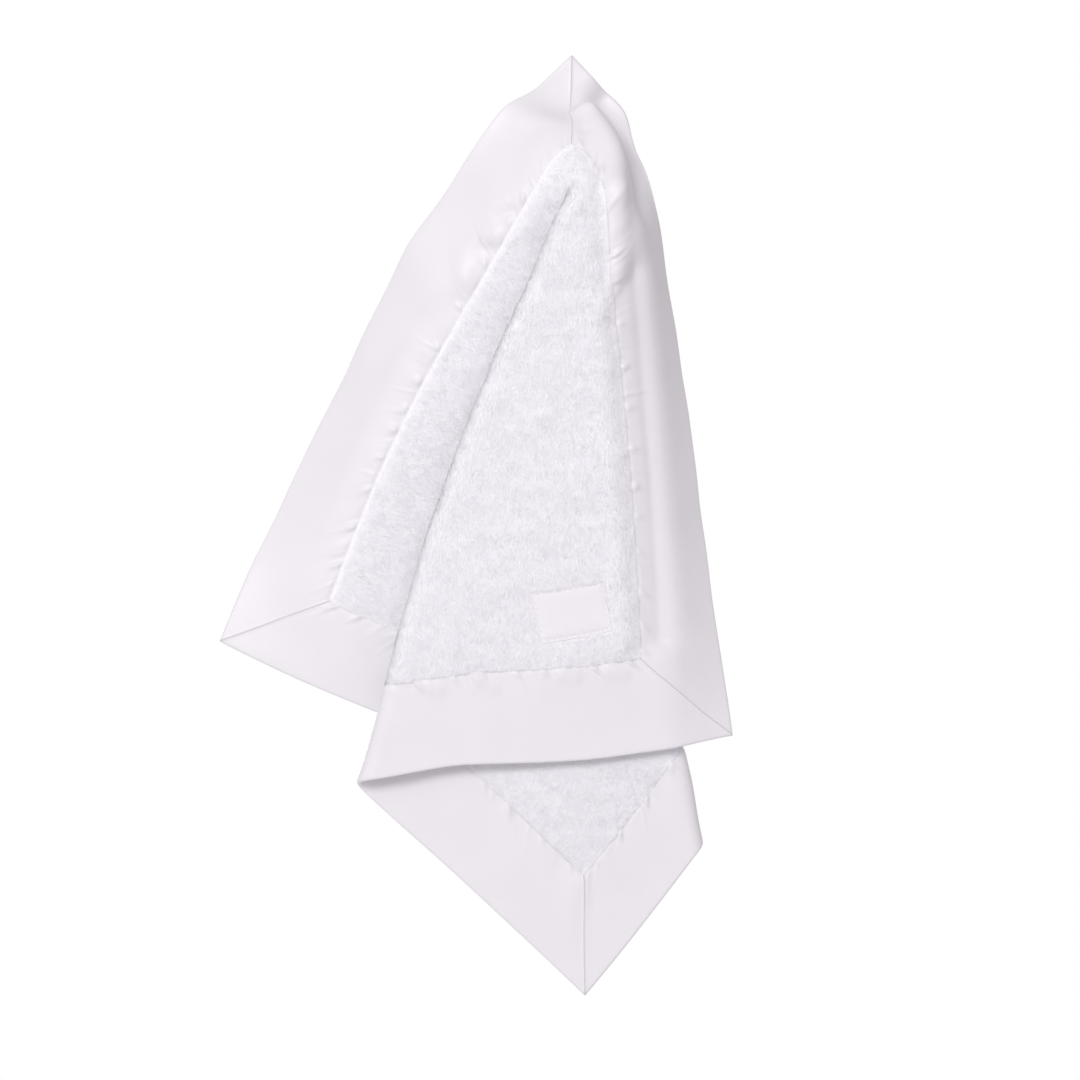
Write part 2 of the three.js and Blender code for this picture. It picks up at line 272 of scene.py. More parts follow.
# Soft ridges and hollows of the whole cloth, each along a line between two flat points: s and t
# of its start, s and t of its end, its heights at both, and its half width.
CREASES = [
    (13, 24, 24, 37, 2.4, 4.6, 7), (24, 37, 44, 84, 5.2, 4.6, 7),
    (44, 84, 47, 125, 3.8, 3, 6), (47, 125, 58, 150, 2.2, 1.6, 5),
    (-4, 18, -3, 64, -6, -6, 13), (8, 32, 22, 92, -5.2, -4.8, 9),
    (18, 28, 38, 48, -0.6, -1.4, 4), (61, 110, 60, 345, 2.6, 2.8, 7),
    (36, 128, 38, 345, -4.8, -4.6, 9), (60, 24, 84, 36, -1.8, -1.2, 10),
    (165, 44, 215, 20, -1.8, -0.6, 9), (152, 4, 164, 30, 3, 2, 18),
    (104, 45, 110, 41, -2, -1, 4), (121, 45, 124, 41, 2.2, 1.8, 4),
    (128, 46, 138, 34, -1.4, -0.6, 5), (140, 34, 150, 42, 1, 1.8, 6),
    (357, 62, 395, 84, 1, 0, 7), (357, 362, 378, 396, -1.6, 0, 8),
    (170, 359, 164, 362, 1.4, 1.1, 4.2), (139, 360, 133, 364, 1.5, 1, 4.2),
    (93, 359, 87, 361, 1.4, 1.2, 4.2), (68, 360, 60, 362, 1.3, 1, 4.2),
    (234, 359, 226, 364, 0.9, 0.5, 5), (206, 359, 196, 362, 0.8, 0.4, 5),
]


def creases(s, t):
    stand = np.zeros_like(s)
    for from_s, from_t, to_s, to_t, first, last, half in CREASES:
        run_s, run_t = to_s - from_s, to_t - from_t
        run = math.hypot(run_s, run_t)
        along = ((s - from_s) * run_s + (t - from_t) * run_t) / run
        aside = ((s - from_s) * run_t - (t - from_t) * run_s) / run
        past = np.maximum(np.maximum(-along, along - run), 0)
        height = mix(first, last, np.clip(along / run, 0, 1))
        stand += height * np.exp(-(np.hypot(aside, past) / half) ** 2)
    return stand


# The slow swells of the whole cloth, large and small: their heights and sizes. They and the
# creases grow from nothing at the first distance from the held corner, over the second.
SWELL = 1.1
SWELL_SIZE = 62
SMALL_SWELL = 0.5
SMALL_SWELL_SIZE = 27
SWELL_START = 40
SWELL_GROWTH = 60
CREASE_START = 16
CREASE_GROWTH = 14


def wave(s, t):
    """Slow swells and creases of the whole cloth, which leave the held corner flat."""
    from_corner = np.hypot(s, t)
    swell = SWELL * noise(s / SWELL_SIZE + 3, t / SWELL_SIZE + 8, seed=11)
    swell = swell + SMALL_SWELL * noise(s / SMALL_SWELL_SIZE, t / SMALL_SWELL_SIZE, seed=12)
    swell = swell * ease((from_corner - SWELL_START) / SWELL_GROWTH)
    return swell + creases(s, t) * ease((from_corner - CREASE_START) / CREASE_GROWTH)


# A fine grid of the cloth, with its outward normal on the front and its directions along s and t.
line = np.linspace(0, SIDE, GRID)
grid_s, grid_t = np.meshgrid(line, line, indexing="ij")


def directions(points):
    along_s = np.gradient(points, line, axis=0)
    along_t = np.gradient(points, line, axis=1)
    return along_s, along_t, unit(np.cross(along_s, along_t))


# Where the cloth below the held corner is smoothed: from where, fully after how far, until where
# and over how far that fades, the square that it all lies in, and how many times.
RELAX_START = 8
RELAX_GROWTH = 14
RELAX_UNTIL = 72
RELAX_FADE = 36
RELAX_SQUARE = 120
RELAX_ROUNDS = 350


def relax_depth(points):
    """Smooths how far forward the cloth lies just below the held corner. Its outline stays."""
    part = int(RELAX_SQUARE / line[1])
    from_corner = np.hypot(grid_s, grid_t)[:part, :part]
    grown = ease((from_corner - RELAX_START) / RELAX_GROWTH)
    share = grown * (1 - ease((from_corner - RELAX_UNTIL) / RELAX_FADE))
    depth = points[:part, :part, 1]
    for _ in range(RELAX_ROUNDS):
        wide = np.pad(depth, 1, mode="edge")
        around = (wide[:-2, 1:-1] + wide[2:, 1:-1] + wide[1:-1, :-2] + wide[1:-1, 2:]) / 4
        depth = mix(depth, around, share)
    points[:part, :part, 1] = depth


flat_s, flat_t = grid_s.ravel(), grid_t.ravel()
cloth = hang(flat_s, flat_t).reshape(GRID, GRID, 3)
relax_depth(cloth)
cloth = cloth + directions(cloth)[2] * wave(grid_s, grid_t)[..., None]
cloth_s, cloth_t, cloth_out = directions(cloth)


def look_up(field, s, t):
    """A field of the grid at any flat points."""
    x = np.clip(s / SIDE * (GRID - 1), 0, GRID - 1 - 1e-9)
    y = np.clip(t / SIDE * (GRID - 1), 0, GRID - 1 - 1e-9)
    i, j = x.astype(int), y.astype(int)
    u, v = (x - i)[..., None], (y - j)[..., None]
    near = mix(field[i, j], field[i + 1, j], u)
    far = mix(field[i, j + 1], field[i + 1, j + 1], u)
    return mix(near, far, v)


def over(s, t, height):
    """Places at a height over the middle of the cloth, towards the front face."""
    s, t, height = np.broadcast_arrays(s, t, height)
    return look_up(cloth, s, t) + unit(look_up(cloth_out, s, t)) * height[..., None]


# Meshes.

def new_object(name, points, corners, material, uv, normals=None):
    """A smooth mesh of faces with the same number of corners, which rides on the part's body."""
    size = corners.shape[1]
    mesh = bpy.data.meshes.new(name)
    mesh.vertices.add(len(points))
    mesh.vertices.foreach_set("co", (points * MM).astype(np.float32).ravel())
    mesh.loops.add(corners.size)
    mesh.loops.foreach_set("vertex_index", corners.astype(np.int32).ravel())
    mesh.polygons.add(len(corners))
    mesh.polygons.foreach_set("loop_start", np.arange(0, corners.size, size, dtype=np.int32))
    mesh.update(calc_edges=True)
    mesh.shade_smooth()
    if normals is not None:
        mesh.normals_split_custom_set_from_vertices(normals.tolist())
    layer = mesh.uv_layers.new(name="OFBake")
    layer.uv.foreach_set("vector", uv.astype(np.float32).ravel())
    mesh.materials.append(material)
    obj = bpy.data.objects.new(name, mesh)
    bpy.context.scene.collection.objects.link(obj)
    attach(obj, "root")
    return obj


def signed_volume(points, corners):
    a, b, c = (points[corners[:, k]] for k in range(3))
    volume = np.einsum("ij,ij->i", a, np.cross(b, c)).sum()
    if corners.shape[1] == 4:
        d = points[corners[:, 3]]
        volume += np.einsum("ij,ij->i", a, np.cross(c, d)).sum()
    return volume


# How the map for baking lays out a sheet: the outer face left, the inner face right, the rim
# between them.
UV_FACE = (0.47, 0.98)
UV_MARGIN = (0.01, 0.01)
UV_INNER = (0.51, 0)
UV_RIM = (0.49, 0.51)


def slab(name, outer, inner, material):
    """A closed sheet between two grids of points of the same shape. Its rim is shaded flat."""
    n, m = outer.shape[:2]
    points = np.concatenate([outer.reshape(-1, 3), inner.reshape(-1, 3)])
    index = np.arange(n * m).reshape(n, m)
    share_n, share_m = np.meshgrid(np.linspace(0, 1, n), np.linspace(0, 1, m), indexing="ij")

    def quads(grid):
        return np.stack([grid[:-1, :-1], grid[1:, :-1], grid[1:, 1:], grid[:-1, 1:]], -1).reshape(-1, 4)

    face = quads(index)
    place = np.stack([share_n, share_m], -1).reshape(-1, 2)
    outer_uv = place[face] * UV_FACE + UV_MARGIN
    inner_uv = outer_uv + UV_INNER
    rims = [index[0], index[:, -1], index[-1][::-1], index[:, 0][::-1]]
    rim, rim_uv = [], []
    for k, edge in enumerate(rims):
        below = edge + n * m
        rim.append(np.stack([edge[:-1], edge[1:], below[1:], below[:-1]], -1))
        run = np.linspace(k / len(rims), (k + 1) / len(rims), len(edge))
        left, right = (np.full(len(edge) - 1, side) for side in UV_RIM)
        rim_uv.append(np.stack([
            np.stack([left, run[:-1]], -1), np.stack([left, run[1:]], -1),
            np.stack([right, run[1:]], -1), np.stack([right, run[:-1]], -1),
        ], 1))
    rim, rim_uv = np.concatenate(rim), np.concatenate(rim_uv)
    corners = np.concatenate([face, face[:, ::-1] + n * m, rim[:, ::-1]])
    uv = np.concatenate([outer_uv, inner_uv[:, ::-1], rim_uv[:, ::-1]])
    if signed_volume(points, corners) < 0:
        corners, uv = corners[:, ::-1], uv[:, ::-1]
    piece = new_object(name, points, corners, material, uv)
    soft = np.arange(len(corners)) < 2 * len(face)
    piece.data.polygons.foreach_set("use_smooth", soft)
    return piece


# Materials.

def new_material(name):
    material = bpy.data.materials.new(name)
    material.use_nodes = True
    nodes = material.node_tree.nodes
    return material, nodes, material.node_tree.links, nodes["Principled BSDF"]


def grain(nodes, links, scale, detail, stretch=None):
    """Noise in the piece's own space, drawn out where a stretch is given."""
    place = nodes.new("ShaderNodeTexCoord").outputs["Object"]
    if stretch is not None:
        mapping = nodes.new("ShaderNodeMapping")
        mapping.inputs["Scale"].default_value = stretch
        links.new(place, mapping.inputs["Vector"])
        place = mapping.outputs["Vector"]
    texture = nodes.new("ShaderNodeTexNoise")
    texture.inputs["Scale"].default_value = scale
    texture.inputs["Detail"].default_value = detail
    links.new(place, texture.inputs["Vector"])
    return texture.outputs["Fac"]


def blend(nodes, links, share, dark, light):
    """A colour between two others."""
    colour = nodes.new("ShaderNodeMix")
    colour.data_type = "RGBA"
    colour.inputs["A"].default_value = (*dark, 1)
    colour.inputs["B"].default_value = (*light, 1)
    links.new(share, colour.inputs["Factor"])
    return colour.outputs["Result"]


def raise_grain(nodes, links, shader, height, strength, distance):
    """Lets the light catch a grain as fine relief."""
    bump = nodes.new("ShaderNodeBump")
    bump.inputs["Strength"].default_value = strength
    bump.inputs["Distance"].default_value = distance
    links.new(height, bump.inputs["Height"])
    links.new(bump.outputs["Normal"], shader.inputs["Normal"])


def set_values(shader, **values):
    """Sets what is the same all over: roughness, specular level and sheen."""
    for name, value in values.items():
        shader.inputs[name.replace("_", " ")].default_value = value


def plush_material():
    material, nodes, links, shader = new_material("plush")
    fine = grain(nodes, links, scale=900, detail=3)
    colour = blend(nodes, links, fine, (0.965, 0.96, 0.97), (0.985, 0.98, 0.99))
    links.new(colour, shader.inputs["Base Color"])
    raise_grain(nodes, links, shader, fine, strength=0.25, distance=0.0003)
    set_values(shader, Roughness=0.95, Sheen_Weight=0.25, Sheen_Roughness=0.6)
    return material


def pile_material():
    """Darker at the roots than at the tips, which is painted shade among the tufts, with a slightly
    different tone for each tuft.
    """
    material, nodes, links, shader = new_material("pile")
    tone = nodes.new("ShaderNodeAttribute")
    tone.attribute_name = "tone"
    parts = nodes.new("ShaderNodeSeparateColor")
    links.new(tone.outputs["Color"], parts.inputs["Color"])
    # The roots are painted darker than the tips: painted shade, where the tufts shade each other.
    height = blend(nodes, links, parts.outputs["Red"], (0.94, 0.94, 0.975), (0.955, 0.955, 0.985))
    vary = nodes.new("ShaderNodeMix")
    vary.data_type = "RGBA"
    vary.blend_type = "MULTIPLY"
    vary.inputs["B"].default_value = (0.96, 0.955, 0.965, 1)
    links.new(height, vary.inputs["A"])
    links.new(parts.outputs["Green"], vary.inputs["Factor"])
    links.new(vary.outputs["Result"], shader.inputs["Base Color"])
    set_values(shader, Roughness=0.9, Specular_IOR_Level=0.2, Sheen_Weight=0.4, Sheen_Roughness=0.35)
    return material


def satin_material():
    """Fine threads that run down the cloth, and a faint cloudiness of its colour."""
    material, nodes, links, shader = new_material("satin")
    threads = grain(nodes, links, scale=1, detail=2, stretch=(2600, 2600, 500))
    cloud = grain(nodes, links, scale=45, detail=2)
    colour = blend(nodes, links, cloud, (0.80, 0.795, 0.81), (0.835, 0.83, 0.845))
    links.new(colour, shader.inputs["Base Color"])
    rough = nodes.new("ShaderNodeMapRange")
    rough.inputs["To Min"].default_value = 0.36
    rough.inputs["To Max"].default_value = 0.5
    links.new(threads, rough.inputs["Value"])
    links.new(rough.outputs["Result"], shader.inputs["Roughness"])
    raise_grain(nodes, links, shader, threads, strength=0.25, distance=0.0001)
    set_values(shader, Specular_IOR_Level=0.36, Sheen_Weight=0.15, Sheen_Roughness=0.3)
    return material


def woven_material(name, scale, dark, light):
    material, nodes, links, shader = new_material(name)
    weave = grain(nodes, links, scale=scale, detail=2)
    links.new(blend(nodes, links, weave, dark, light), shader.inputs["Base Color"])
    raise_grain(nodes, links, shader, weave, strength=0.4, distance=0.0002)
    set_values(shader, Roughness=0.7)
    return material


plush_white = plush_material()
pile_white = pile_material()
satin_white = satin_material()
label_white = woven_material("label", 1800, (0.81, 0.805, 0.825), (0.88, 0.875, 0.89))
thread_white = woven_material("thread", 2500, (0.90, 0.895, 0.91), (0.96, 0.955, 0.97))


# The plush faces: the step of their mesh, and the ground, which is the dense lower part of the
# pile. It has fine and wide lumps, dips beside the seam, and is pressed down by the label from a
# little outside the label's rim.
PLUSH_STEP = 1.6
GROUND = 2.1
FINE_LUMP = 0.06
FINE_LUMP_SIZE = 3.1
WIDE_LUMP = 0.2
WIDE_LUMP_SIZE = 8.3
SEAM_DIP = 0.4
SEAM_DIP_WIDTH = 3
SEAM_DROP_WIDTH = 0.6
PRESS_OUTSIDE = 1.8
PRESS_WIDTH = 1.5
SLOPE_STEP = 0.4


def inside_seam(s, t):
    """How far a flat point lies inside the seam of the plush, negative beyond it."""
    return np.minimum(np.minimum(s, t) - BORDER, FAR - np.maximum(s, t))


def on_label(x, y):
    """The flat place of a point of the label, from its middle."""
    cos, sin = math.cos(LABEL_TILT * DEG), math.sin(LABEL_TILT * DEG)
    return LABEL_S + x * cos - y * sin, LABEL_T + x * sin + y * cos


def beyond_label(s, t):
    """How far a flat point lies outside the rim of the label, negative within it."""
    cos, sin = math.cos(LABEL_TILT * DEG), math.sin(LABEL_TILT * DEG)
    x = (s - LABEL_S) * cos + (t - LABEL_T) * sin
    y = (t - LABEL_T) * cos - (s - LABEL_S) * sin
    return np.maximum(np.abs(x) - LABEL_WIDTH / 2, np.abs(y) - LABEL_HEIGHT / 2)


def ground_height(s, t, facing):
    """The height of the dense ground of the pile. It swells up from its seam, and the label
    presses it down."""
    lumps = FINE_LUMP * noise(s / FINE_LUMP_SIZE, t / FINE_LUMP_SIZE, seed=21)
    lumps = lumps + WIDE_LUMP * noise(s / WIDE_LUMP_SIZE, t / WIDE_LUMP_SIZE, seed=22)
    dip = SEAM_DIP * np.exp(-np.maximum(inside_seam(s, t), 0) / SEAM_DIP_WIDTH)
    ground = HALF_GAP + BACKING + GROUND + lumps - dip
    if facing > 0:
        pressed = 1 - ease((beyond_label(s, t) + PRESS_OUTSIDE) / PRESS_WIDTH)
        ground = ground - LABEL_PRESS * pressed
    return ground


def plush_height(s, t, facing):
    """Just outside the seam the ground drops to the thickness of the seam allowance."""
    inside = ease((inside_seam(s, t) + SEAM_DROP_WIDTH) / SEAM_DROP_WIDTH)
    return mix(ALLOWANCE_SKIN, ground_height(s, t, facing), inside)


def ground_normal(s, t, facing):
    """The outward direction of the ground, square to its swells."""
    more_s = ground_height(s + SLOPE_STEP, t, facing) - ground_height(s - SLOPE_STEP, t, facing)
    more_t = ground_height(s, t + SLOPE_STEP, facing) - ground_height(s, t - SLOPE_STEP, facing)
    rise_s = (more_s / (2 * SLOPE_STEP))[..., None]
    rise_t = (more_t / (2 * SLOPE_STEP))[..., None]
    tilt = unit(look_up(cloth_s, s, t)) * rise_s + unit(look_up(cloth_t, s, t)) * rise_t
    return unit(unit(look_up(cloth_out, s, t)) * facing - tilt)


def plush(name, node, facing):
    count = int(round((FAR - BORDER + 2 * ALLOWANCE) / PLUSH_STEP)) + 1
    row = np.linspace(BORDER - ALLOWANCE, FAR + ALLOWANCE, count)
    s, t = np.meshgrid(row, row, indexing="ij")
    outer = over(s, t, facing * plush_height(s, t, facing))
    inner = over(s, t, facing * HALF_GAP)
    piece = slab(name, outer, inner, plush_white)
    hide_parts(node)
    return piece


# The pile is drawn as small flat tufts, brushed over in one direction, each a slim cone. A few
# are wisps: longer, thinner and more upright. They change a little with noise, in clumps, and
# scatter at random. Sizes are in millimetres.
TUFT_STEP = 0.72
TUFT_GROUPS = 3
TUFT_ROUNDNESS = 0.2
TUFT_FLATNESS = 0.45
TUFT_RADII = (0.42, 0.62)
TUFT_LENGTH = 1.7
TUFT_RISE = 0.42
ROOT_DEPTH = 0.1
CLUMP_SIZE = 2.3
CLUMP_LENGTH = 0.3
CLUMP_RISE = 0.1
LENGTH_SCATTER = 0.35
RISE_SCATTER = 0.1
WISP_SHARE = 0.12
WISP_LENGTH_SCALE = 1.4
WISP_RADIUS_SCALE = 0.6
WISP_RISE = 0.3

# The nap's angle, and how far it wanders, in degrees: in wide and small patches, and at random.
NAP_ANGLE = 80
NAP_WIDE = 26
NAP_WIDE_SIZE = 9
NAP_SMALL = 20
NAP_SMALL_SIZE = 2.6
NAP_SCATTER = 12

# Within its reach of a seam the pile leans outward over the satin, by a push between two values,
# and lies low. A band there has extra tufts. The label's rim is kept clear of them.
SEAM_REACH = 2.2
SEAM_PUSHES = (0.4, 1.5)
SEAM_PUSH_CLUMP = 0.3
SEAM_RISE = 0.08
SEAM_BAND = 1.6
SEAM_TUFTS_PER_MM = 4
LABEL_CLEAR = 0.3

# A tuft's tone: streaks along the nap, and its share of chance.
STREAK_WIDTH = 0.9
STREAK_LENGTH = 4.5
TONE_CHANCE_SHARE = 0.4

# Where a tuft's three root corners and its tip lie in its cell of the map for baking.
TUFT_SPOTS = np.array([[0.08, 0.08], [0.92, 0.08], [0.5, 0.92], [0.5, 0.36]])


def tuft_places(facing, rng):
    """The flat places of the tufts: an uneven grid, and more of them along the seams."""
    count = int(round((FAR - BORDER) / TUFT_STEP))
    row = BORDER + (np.arange(count) + 0.5) * (FAR - BORDER) / count
    s, t = (g.ravel() for g in np.meshgrid(row, row, indexing="ij"))
    s = s + rng.uniform(-TUFT_STEP / 2, TUFT_STEP / 2, s.shape)
    t = t + rng.uniform(-TUFT_STEP / 2, TUFT_STEP / 2, t.shape)
    extra = int((FAR - BORDER) * SEAM_TUFTS_PER_MM)
    for turned, flipped in ((False, False), (False, True), (True, False), (True, True)):
        inward = rng.uniform(0, SEAM_BAND, extra)
        run = rng.uniform(BORDER, FAR, extra)
        beside = FAR - inward if flipped else BORDER + inward
        s = np.concatenate([s, run if turned else beside])
        t = np.concatenate([t, beside if turned else run])
    if facing > 0:
        open_pile = beyond_label(s, t) > -LABEL_CLEAR
        s, t = s[open_pile], t[open_pile]
    return s, t


def seam_side(place):
    """Which way a seam lies from a tuft that is close to it: -1 or 1, and otherwise 0."""
    return np.sign(place - SIDE / 2) * (np.minimum(place - BORDER, FAR - place) < SEAM_REACH)


def tuft_shapes(s, t, facing, rng, seed):
    """The three root corners and the tip of each tuft, their normals, and the tuft's tone."""
    inside = inside_seam(s, t)
    root = over(s, t, facing * (ground_height(s, t, facing) - ROOT_DEPTH))
    out = ground_normal(s, t, facing)
    along_s = unit(look_up(cloth_s, s, t))
    along_t = unit(look_up(cloth_t, s, t))

    # Each lies along the nap, which wanders, and a few stand out as longer, thinner wisps.
    clump = noise(s / CLUMP_SIZE, t / CLUMP_SIZE, seed + 1)
    wisp = rng.uniform(0, 1, s.shape) < WISP_SHARE
    nap = NAP_ANGLE + NAP_WIDE * noise(s / NAP_WIDE_SIZE, t / NAP_WIDE_SIZE, seed + 2)
    nap = nap + NAP_SMALL * noise(s / NAP_SMALL_SIZE, t / NAP_SMALL_SIZE, seed + 3)
    nap = (nap + rng.normal(0, NAP_SCATTER, s.shape)) * DEG
    length = TUFT_LENGTH + CLUMP_LENGTH * clump
    length = length + rng.uniform(-LENGTH_SCATTER, LENGTH_SCATTER, s.shape)
    length = length * np.where(wisp, WISP_LENGTH_SCALE, 1)
    rise = TUFT_RISE + CLUMP_RISE * clump
    rise = rise + rng.uniform(-RISE_SCATTER, RISE_SCATTER, s.shape) + WISP_RISE * wisp
    lean_s, lean_t = length * np.cos(nap), length * np.sin(nap)

    # Beside the seams they lean outward over the satin.
    near_edge = 1 - ease(inside / SEAM_REACH)
    push = rng.uniform(*SEAM_PUSHES, s.shape) + SEAM_PUSH_CLUMP * clump
    lean_s = mix(lean_s, push * seam_side(s), near_edge)
    lean_t = mix(lean_t, push * seam_side(t), near_edge)
    rise = mix(rise, SEAM_RISE + CLUMP_RISE * clump, near_edge)
    lean = along_s * lean_s[:, None] + along_t * lean_t[:, None]
    tip = root + out * rise[:, None] + lean

    # Three corners round the root, square to the tuft.
    axis = unit(tip - root)
    first = unit(np.cross(axis, out))
    second = np.cross(axis, first) * TUFT_FLATNESS
    spin = rng.uniform(0, 2 * math.pi, s.shape)
    radius = rng.uniform(*TUFT_RADII, s.shape) * np.where(wisp, WISP_RADIUS_SCALE, 1)
    ring = []
    for k in range(3):
        angle = (spin + k * 2 * math.pi / 3)[:, None]
        ring.append(root + (first * np.cos(angle) + second * np.sin(angle)) * radius[:, None])
    turned_out = [unit(corner - root) for corner in ring] + [unit(lean + out)]
    normals = unit(np.stack([mix(out, away, TUFT_ROUNDNESS) for away in turned_out], 1))
    streak = 0.5 + 0.5 * noise(s / STREAK_WIDTH, t / STREAK_LENGTH, seed + 4)
    tone = mix(streak, rng.uniform(0, 1, s.shape), TONE_CHANCE_SHARE)
    return np.stack([*ring, tip], 1), normals, tone


def tuft_piece(name, points, normals, tone):
    """One mesh of many tufts. Its tone attribute is red at the tips, from which the pile paints shade
    at the roots, and green by the tuft's tone.
    """
    total = len(points)
    base = np.arange(total)[:, None] * 4
    corners = np.concatenate([base + [0, 1, 3], base + [1, 2, 3], base + [2, 0, 3]], 1).reshape(-1, 3)
    wide = int(math.ceil(math.sqrt(total)))
    cell = np.stack([np.arange(total) % wide, np.arange(total) // wide], -1)[:, None, :]
    uv = ((cell + TUFT_SPOTS) / wide).reshape(-1, 2)[corners]
    piece = new_object(name, points.reshape(-1, 3), corners, pile_white, uv, normals.reshape(-1, 3))
    attribute = piece.data.color_attributes.new("tone", "FLOAT_COLOR", "POINT")
    # Red is 0 at the three root corners and 1 at the tip, for the painted shade at the roots.
    colour = np.ones((total, 4, 4))
    colour[:, :3, 0] = 0
    colour[:, :, 1] = tone[:, None]
    attribute.data.foreach_set("color", colour.astype(np.float32).ravel())


def tufts(name, facing, seed):
    """The pile of one face, shared among a few pieces."""
    rng = np.random.default_rng(seed)
    s, t = tuft_places(facing, rng)
    points, normals, tone = tuft_shapes(s, t, facing, rng, seed)
    group = (np.arange(len(s)) * TUFT_GROUPS) // len(s)
    for k in range(TUFT_GROUPS):
        chosen = group == k
        tuft_piece(f"{name}_{k + 1}", points[chosen], normals[chosen], tone[chosen])


# The satin borders. They start a little under the pile, so that no crack shows at the seam, and
# roll up from it. A low ridge runs along each mitre, and a hair's gap parts two strips there.
SATIN_STEP = 1.0
BEND_STEPS = 9
MITRE_GAP = 0.02
UNDER_PILE = 0.1
SEAM_ROLL = 0.65
SEAM_ROLL_WIDTH = 1.6
MITRE_RIDGE = 0.45
MITRE_RIDGE_WIDTH = 0.9

# The strip's own fullness, which rises from the seam and sinks towards the edge, and its slow
# unevenness beside the seam.
FULLNESS = 0.9
FULLNESS_RISE = 2.5
FULLNESS_START = 4
FULLNESS_FADE = 36
UNEVEN = 0.45
UNEVEN_RISE = 3
UNEVEN_FADE = 16
UNEVEN_SIZES = (9, 30)
UNEVEN_WIDE_SHARE = 0.6
UNEVEN_WIDE_SIZES = (21, 45)

# What the seams gather in the satin: its greatest height, half widths, lengths and spacings, and
# from where it fades. The first are short, full puffs, and the second long, thin creases.
PUCKERS = [
    (2.5, (2.4, 4), (2, 3.8), (18, 38), 2.5),
    (0.9, (1.2, 2.2), (5, 15), (12, 32), 0),
]
PUCKER_RISE = 1.4
PUCKER_HOLLOW = 0.35
PUCKER_HOLLOW_WIDTH = 2.6
DEEPEST_HOLLOW = 0.5
PUCKER_MARGIN = 4
PUCKER_FIRST = (4, 12)
PUCKER_SLANT = 0.35
PUCKER_LEAST_SHARE = 0.4
PUCKER_SKEW = 1.5
BEHIND_SEED = 100


def puckers(along, out, seed):
    """How far the satin stands out in the creases and slow swells that its seam gathers."""
    rng = np.random.default_rng(seed)
    run_size, out_size = UNEVEN_SIZES
    wide_run, wide_out = UNEVEN_WIDE_SIZES
    wide = noise(along / wide_run, out / wide_out, seed + 1)
    swell = noise(along / run_size, out / out_size, seed) + UNEVEN_WIDE_SHARE * wide
    stand = UNEVEN * swell * np.exp(-out / UNEVEN_FADE) * ease(out / UNEVEN_RISE)
    full = ease(out / FULLNESS_RISE) * (1 - ease((out - FULLNESS_START) / FULLNESS_FADE))
    stand = stand + FULLNESS * full
    for most, widths, lengths, spacing, start in PUCKERS:
        place = rng.uniform(*PUCKER_FIRST)
        while place < SIDE - PUCKER_MARGIN:
            height = rng.uniform(PUCKER_LEAST_SHARE, 1) ** PUCKER_SKEW * most
            half = rng.uniform(*widths)
            length = rng.uniform(*lengths)
            aside = (along - place - rng.uniform(-PUCKER_SLANT, PUCKER_SLANT) * out) / half
            fade = ease(out / PUCKER_RISE) * np.exp(-((np.maximum(out - start, 0) / length) ** 2))
            hollow = PUCKER_HOLLOW * np.exp(-((aside / PUCKER_HOLLOW_WIDTH) ** 2))
            stand = stand + height * (np.exp(-(aside ** 2)) - hollow) * fade
            place += rng.uniform(*spacing)
    return np.maximum(stand, -DEEPEST_HOLLOW)


def fold_paths():
    """From the seam in front, round the fold at the edge, to the seam behind: how far out each
    point lies, as a share of the border, on the outer and the inner face, and on which side."""
    rows = int(round(BORDER / SATIN_STEP))
    out = np.linspace(-UNDER_PILE / BORDER, 1 - SATIN_OUTER / BORDER, rows)
    bend = np.linspace(0, math.pi, BEND_STEPS)[1:-1]
    outer_turn = 1 - SATIN_OUTER / BORDER * (1 - np.sin(bend))
    inner_turn = 1 - SATIN_OUTER / BORDER + SATIN_INNER / BORDER * np.sin(bend)
    side = np.concatenate([np.ones(rows), np.cos(bend), -np.ones(rows)])
    outer_path = np.concatenate([out, outer_turn, out[::-1]])
    inner_path = np.concatenate([out, inner_turn, out[::-1]])
    return outer_path[None, :], inner_path[None, :], side[None, :]


def satin(name, node, seam_ends, edge_ends, seed):
    """A strip folded along the outer edge. Its columns run from the seam in front to that behind."""
    columns = int(round(SIDE / SATIN_STEP))
    gap = MITRE_GAP / (FAR - BORDER)
    share = np.linspace(gap, 1 - gap, columns)[:, None]
    path, inner_path, side = fold_paths()

    def flat(across):
        seam = [mix(a, b, share) for a, b in zip(*seam_ends)]
        edge = [mix(a, b, share) for a, b in zip(*edge_ends)]
        return [mix(p, q, across) for p, q in zip(seam, edge)]

    along, from_seam = np.broadcast_arrays(share * SIDE, path * BORDER)
    in_front = puckers(along, from_seam, seed)
    behind = puckers(along, from_seam, seed + BEHIND_SEED)
    on_face = np.abs(side) == 1
    stand = np.where(side > 0, in_front, behind) * on_face
    to_mitre = np.minimum(share, 1 - share) * mix(FAR - BORDER, SIDE, path)
    stand = stand + MITRE_RIDGE * np.exp(-((to_mitre / MITRE_RIDGE_WIDTH) ** 2)) * on_face
    stand = stand + SEAM_ROLL * np.exp(-np.maximum(from_seam, 0) / SEAM_ROLL_WIDTH)
    s, t = flat(path)
    outer = over(s, t, side * (SATIN_OUTER + stand))
    s, t = flat(inner_path)
    inner = over(s, t, side * (SATIN_INNER + stand))
    piece = slab(name, outer, inner, satin_white)
    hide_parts(node)
    return piece


